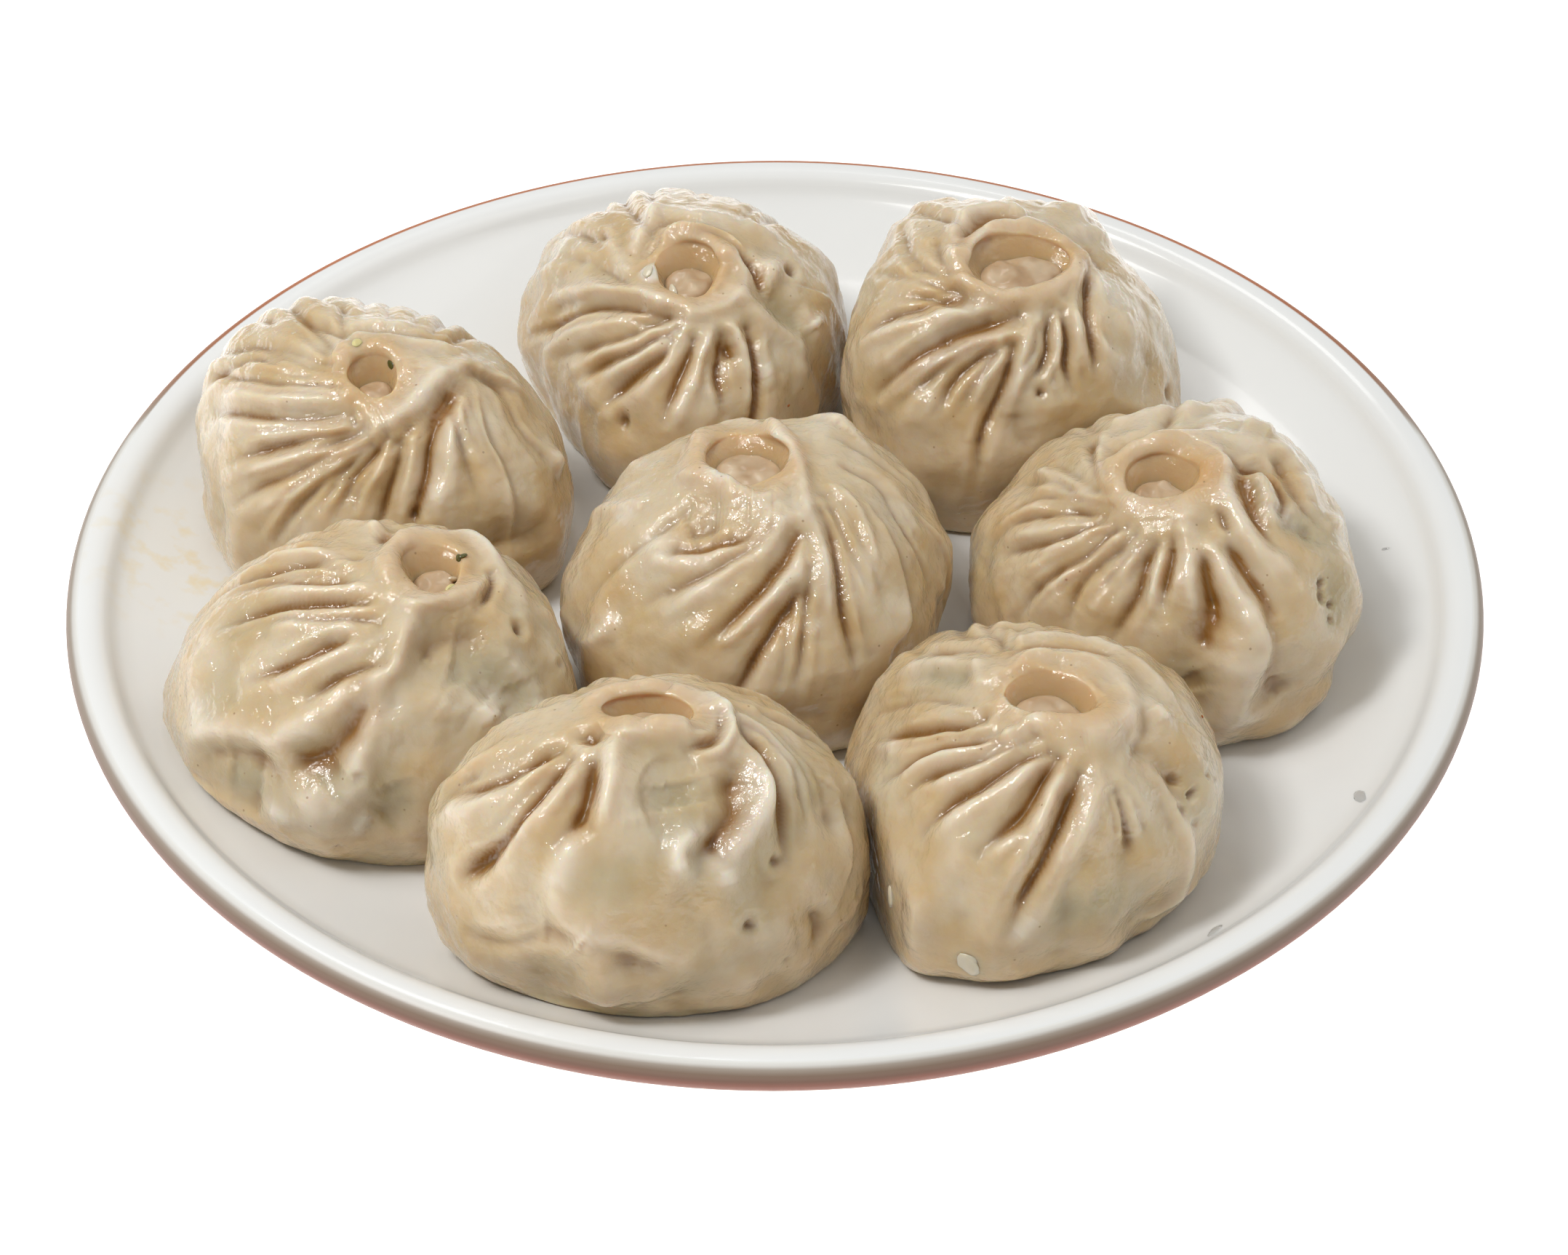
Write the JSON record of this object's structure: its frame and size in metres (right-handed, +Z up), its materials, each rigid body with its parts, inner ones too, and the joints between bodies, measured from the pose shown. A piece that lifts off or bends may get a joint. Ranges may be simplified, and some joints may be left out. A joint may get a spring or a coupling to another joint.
{
  "type": "momo dumplings on a plate",
  "caption": "Steamed pleated momo dumplings with open gathered crowns and a meat and onion filling, served on a round white glazed plate with a rolled rim.",
  "frame": {"origin": "centre of the plate's foot ring, on the table it stands on", "axes": "+Z up along the plate's axis; -Y towards the diner's side of the plate"},
  "size_m": [0.22, 0.22, 0.0488],
  "materials": {
    "plate_glaze": "gloss",
    "steamed_dough": "satin, moist",
    "meat_filling": "satin, moist"
  },
  "bodies": {
    "root": {"plate": "plate_glaze", "wrapper_back_left": "steamed_dough", "filling_back_left": "meat_filling", "wrapper_back_middle": "steamed_dough", "filling_back_middle": "meat_filling", "wrapper_back_right": "steamed_dough", "filling_back_right": "meat_filling", "wrapper_centre": "steamed_dough", "filling_centre": "meat_filling", "wrapper_right": "steamed_dough", "filling_right": "meat_filling", "wrapper_front_right": "steamed_dough", "filling_front_right": "meat_filling", "wrapper_front_middle": "steamed_dough", "filling_front_middle": "meat_filling", "wrapper_front_left": "steamed_dough", "filling_front_left": "meat_filling"}
  },
  "joints": []
}
